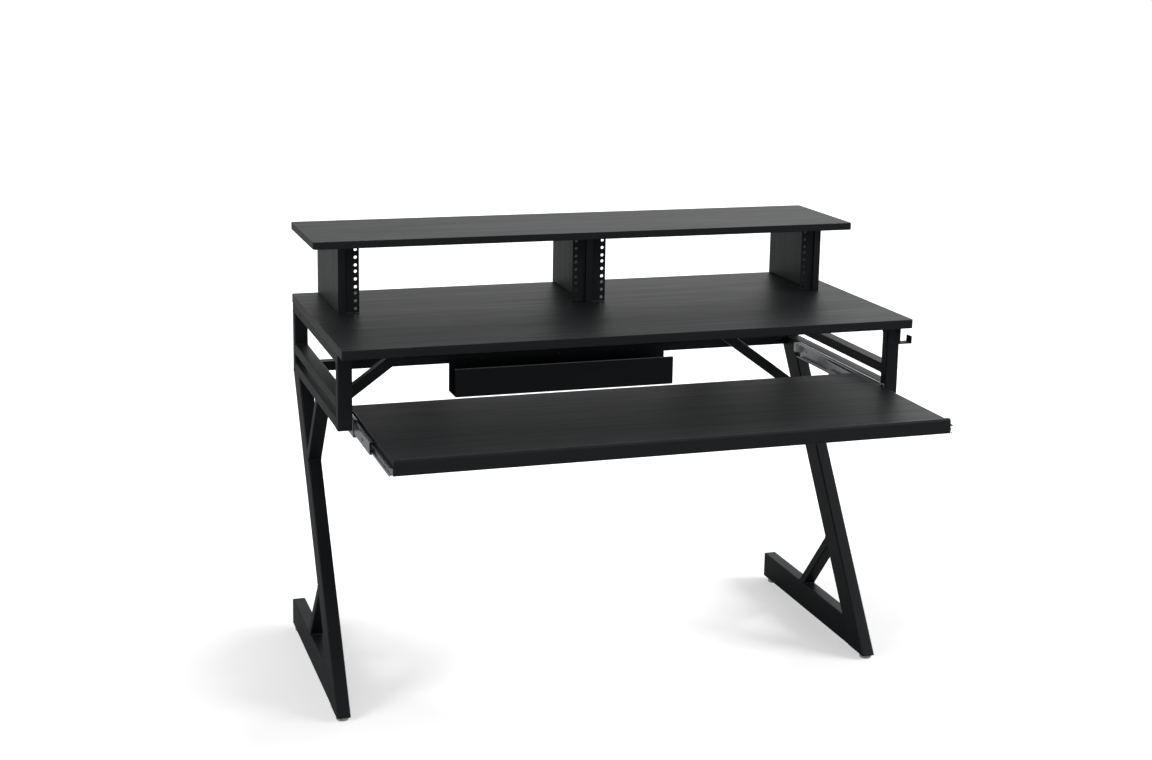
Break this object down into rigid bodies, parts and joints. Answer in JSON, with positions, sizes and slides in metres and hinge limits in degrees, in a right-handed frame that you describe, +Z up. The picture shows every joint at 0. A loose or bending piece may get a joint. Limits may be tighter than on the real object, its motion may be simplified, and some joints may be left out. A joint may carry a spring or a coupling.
{
  "type": "studio desk",
  "caption": "Studio desk on Z-shaped steel frames, with a raised shelf over 19-inch rack bays and a pull-out keyboard tray on ball-bearing slides.",
  "frame": {"origin": "on the floor, at the middle of the whole box's underside with the keyboard tray pulled out as in the picture", "axes": "+X to the right as seen by the person seated at the desk, +Y to the back, +Z up"},
  "size_m": [1.176, 0.85, 0.9182],
  "materials": {
    "laminate": "black woodgrain laminate with a soft sheen, matching edge band",
    "powder_coat": "satin black powder coat",
    "zinc_steel": "bright zinc plate",
    "ball_steel": "bright steel balls in a thin strip cage",
    "black_plastic": "moulded, satin",
    "white_plastic": "moulded, satin",
    "pale_plastic": "moulded, matte"
  },
  "bodies": {
    "desk": {"desktop": "laminate", "riser_shelf": "laminate", "riser_side_left": "laminate", "riser_divider": "laminate", "riser_side_right": "laminate", "rack_angle_left_bay_left": "powder_coat", "rack_angle_left_bay_right": "powder_coat", "rack_angle_right_bay_left": "powder_coat", "rack_angle_right_bay_right": "powder_coat", "front_cross_rail": "powder_coat", "rear_cross_rail": "powder_coat", "rear_stretcher": "powder_coat", "cable_tray": "powder_coat", "headphone_hook": "powder_coat", "top_rail_left": "powder_coat", "mid_rail_left": "powder_coat", "lower_rail_left": "powder_coat", "front_post_left": "powder_coat", "rear_post_left": "powder_coat", "leg_left": "powder_coat", "upper_brace_left": "powder_coat", "lower_brace_left": "powder_coat", "foot_beam_left": "powder_coat", "knee_brace_left": "powder_coat", "beam_cap_left": "black_plastic", "rail_cap_left": "black_plastic", "top_rail_right": "powder_coat", "mid_rail_right": "powder_coat", "lower_rail_right": "powder_coat", "front_post_right": "powder_coat", "rear_post_right": "powder_coat", "leg_right": "powder_coat", "upper_brace_right": "powder_coat", "lower_brace_right": "powder_coat", "foot_beam_right": "powder_coat", "knee_brace_right": "powder_coat", "beam_cap_right": "black_plastic", "rail_cap_right": "black_plastic", "glide_front_left": "pale_plastic", "glide_rear_left": "pale_plastic", "glide_front_right": "pale_plastic", "glide_rear_right": "pale_plastic", "slide_outer_left": "zinc_steel", "slide_outer_right": "zinc_steel", "slide_stop_left": "white_plastic", "slide_stop_right": "white_plastic"},
    "tray": {"keyboard_tray": "laminate", "tray_front_lip": "laminate", "slide_inner_left": "zinc_steel", "slide_inner_right": "zinc_steel"},
    "middle_left": {"slide_middle_left": "zinc_steel", "slide_guide_left": "black_plastic"},
    "middle_right": {"slide_middle_right": "zinc_steel", "slide_guide_right": "black_plastic"},
    "cage_outer_left": {"ball_cage_outer_left": "ball_steel"},
    "cage_outer_right": {"ball_cage_outer_right": "ball_steel"},
    "cage_inner_left": {"ball_cage_inner_left": "ball_steel"},
    "cage_inner_right": {"ball_cage_inner_right": "ball_steel"}
  },
  "joints": [
    {"name": "tray_slide", "type": "slide", "parent": "desk", "child": "tray", "axis": [0, -1, 0], "range_m": [-0.292, 0.108]},
    {"name": "middle_left_slide", "type": "slide", "parent": "desk", "child": "middle_left", "axis": [0, -1, 0], "range_m": [-0.146, 0.054]},
    {"name": "middle_right_slide", "type": "slide", "parent": "desk", "child": "middle_right", "axis": [0, -1, 0], "range_m": [-0.146, 0.054]},
    {"name": "cage_outer_left_slide", "type": "slide", "parent": "desk", "child": "cage_outer_left", "axis": [0, -1, 0], "range_m": [-0.073, 0.027]},
    {"name": "cage_outer_right_slide", "type": "slide", "parent": "desk", "child": "cage_outer_right", "axis": [0, -1, 0], "range_m": [-0.073, 0.027]},
    {"name": "cage_inner_left_slide", "type": "slide", "parent": "desk", "child": "cage_inner_left", "axis": [0, -1, 0], "range_m": [-0.219, 0.081]},
    {"name": "cage_inner_right_slide", "type": "slide", "parent": "desk", "child": "cage_inner_right", "axis": [0, -1, 0], "range_m": [-0.219, 0.081]}
  ],
  "couplings": [
    {"joint": "middle_left_slide", "follows": "tray_slide", "ratio": 0.5},
    {"joint": "middle_right_slide", "follows": "tray_slide", "ratio": 0.5},
    {"joint": "cage_outer_left_slide", "follows": "tray_slide", "ratio": 0.25},
    {"joint": "cage_outer_right_slide", "follows": "tray_slide", "ratio": 0.25},
    {"joint": "cage_inner_left_slide", "follows": "tray_slide", "ratio": 0.75},
    {"joint": "cage_inner_right_slide", "follows": "tray_slide", "ratio": 0.75}
  ]
}
